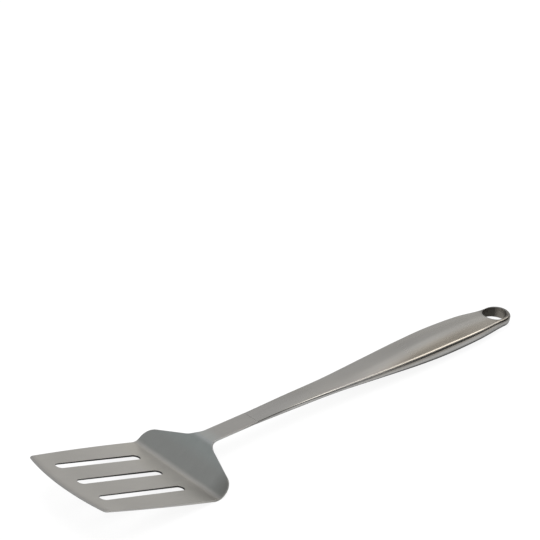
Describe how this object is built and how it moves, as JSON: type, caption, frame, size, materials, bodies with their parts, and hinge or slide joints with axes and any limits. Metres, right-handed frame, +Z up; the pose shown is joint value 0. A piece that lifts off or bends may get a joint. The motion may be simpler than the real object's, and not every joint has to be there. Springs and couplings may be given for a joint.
{
  "type": "turner",
  "caption": "All-steel kitchen and barbecue turner: a slotted sheet blade bent up to a flat shank and welded into a long hollow handle with a hanging hole",
  "frame": {"origin": "middle of the outline, on the table plane that the heel bend and the handle end rest on", "axes": "+X towards the hanging hole end of the handle, +Z up, the part is the same on both sides of Y = 0"},
  "size_m": [0.4435, 0.0984, 0.0339],
  "materials": {
    "blade_steel": "fine satin grain",
    "handle_steel": "satin with polished edges",
    "sleeve_steel": "smooth satin"
  },
  "bodies": {
    "root": {"slotted_blade": "blade_steel", "handle_top_shell": "handle_steel", "handle_bottom_shell": "handle_steel", "hanging_sleeve": "sleeve_steel"}
  },
  "joints": []
}
